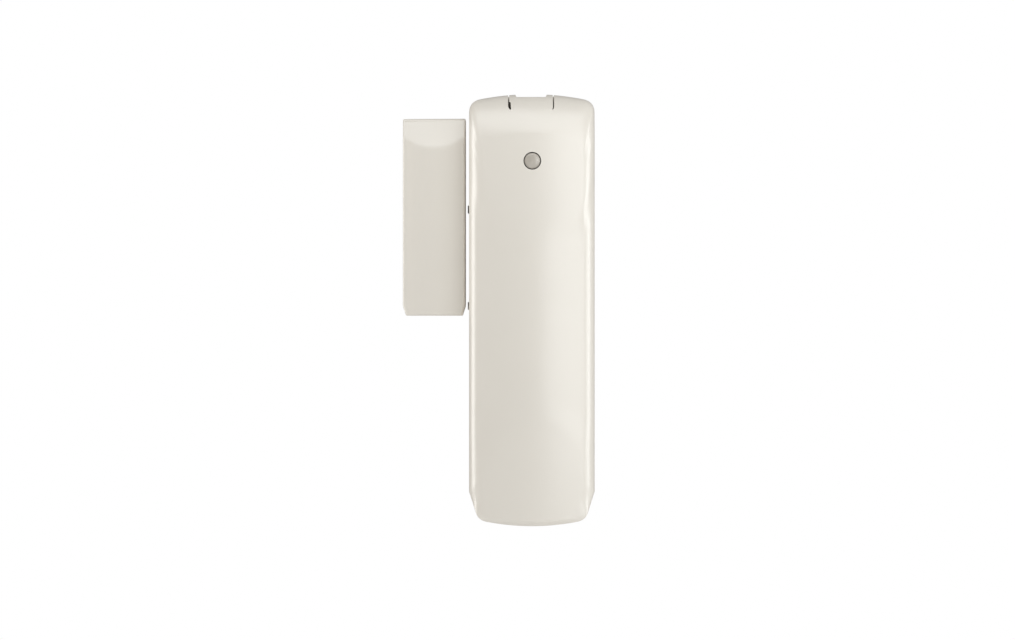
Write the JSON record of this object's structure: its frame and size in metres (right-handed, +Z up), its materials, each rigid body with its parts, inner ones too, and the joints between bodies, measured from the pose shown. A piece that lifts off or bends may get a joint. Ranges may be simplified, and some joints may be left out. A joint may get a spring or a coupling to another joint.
{
  "type": "door contact sensor",
  "caption": "Wireless door contact: tall rounded sensor body with a hinged front cover and status light, and a short magnet unit fixed beside it.",
  "frame": {"origin": "centre of the sensor body's rear mounting face", "axes": "+Z up along the sensor's long side, -Y out of the wall toward the viewer, +Y into the wall, -X from the sensor toward the magnet unit"},
  "size_m": [0.049, 0.026, 0.1099],
  "materials": {
    "ivory_plastic": "satin",
    "light_guide": "gloss",
    "board_laminate": "satin",
    "nickel_plated": "satin",
    "cell_sleeve": "satin",
    "black_plastic": "satin",
    "reed_tube_glass": "gloss",
    "led_resin": "gloss",
    "natural_nylon": "satin",
    "terminal_plastic": "satin",
    "copper_wire": "gloss",
    "magnet_metal": "satin"
  },
  "bodies": {
    "sensor": {"rear_housing": "ivory_plastic", "circuit_board": "board_laminate", "board_screw": "nickel_plated", "battery_cell": "cell_sleeve", "battery_holder": "black_plastic", "contact_spring": "nickel_plated", "contact_plate": "nickel_plated", "reed_glass": "reed_tube_glass", "reed_lead_lower": "nickel_plated", "reed_lead_upper": "nickel_plated", "reed_fixed_blade": "nickel_plated", "microcontroller": "black_plastic", "radio_chip": "black_plastic", "crystal_can": "nickel_plated", "smoothing_capacitor": "black_plastic", "signal_led": "led_resin", "tamper_switch_body": "black_plastic", "learn_switch_body": "nickel_plated", "terminal_block": "terminal_plastic", "terminal_screw_left": "nickel_plated", "terminal_screw_right": "nickel_plated", "antenna_coil": "copper_wire"},
    "cover": {"front_cover": "ivory_plastic", "light_pipe": "light_guide"},
    "latch": {"latch_tongue": "ivory_plastic"},
    "tamper": {"tamper_plunger": "natural_nylon"},
    "learn": {"learn_button": "black_plastic"},
    "reed": {"reed_moving_blade": "nickel_plated"},
    "magnet_unit": {"magnet_base": "ivory_plastic", "bar_magnet": "magnet_metal"},
    "magnet_cap": {"magnet_cover": "ivory_plastic"}
  },
  "joints": [
    {"name": "cover_hinge", "type": "hinge", "parent": "sensor", "child": "cover", "pos_m": [0, -0.00715, -0.0552], "axis": [1, 0, 0], "range_deg": [0, 75]},
    {"name": "latch_flex", "type": "hinge", "parent": "cover", "child": "latch", "pos_m": [-0.0002, -0.023, 0.0509], "axis": [-1, 0, 0], "range_deg": [0, 5], "stiffness_Nm_per_rad": 1},
    {"name": "tamper_release", "type": "slide", "parent": "sensor", "child": "tamper", "axis": [0, -1, 0], "range_m": [0, 0.0012]},
    {"name": "learn_press", "type": "slide", "parent": "sensor", "child": "learn", "axis": [0, 1, 0], "range_m": [0, 0.0003], "stiffness_N_per_m": 3000},
    {"name": "reed_open", "type": "hinge", "parent": "sensor", "child": "reed", "pos_m": [-0.0112, -0.01015, 0.0185], "axis": [-1, 0, 0], "range_deg": [0, 1.5]},
    {"name": "door_opening", "type": "slide", "parent": "sensor", "child": "magnet_unit", "axis": [-1, 0, 0], "range_m": [0, 0.06]},
    {"name": "magnet_cap_lift", "type": "slide", "parent": "magnet_unit", "child": "magnet_cap", "axis": [0, -1, 0], "range_m": [0, 0.03]}
  ],
  "couplings": [
    {"joint": "tamper_release", "follows": "cover_hinge", "m_per_rad": 0.00091},
    {"joint": "reed_open", "follows": "door_opening", "rad_per_m": 0.436}
  ]
}
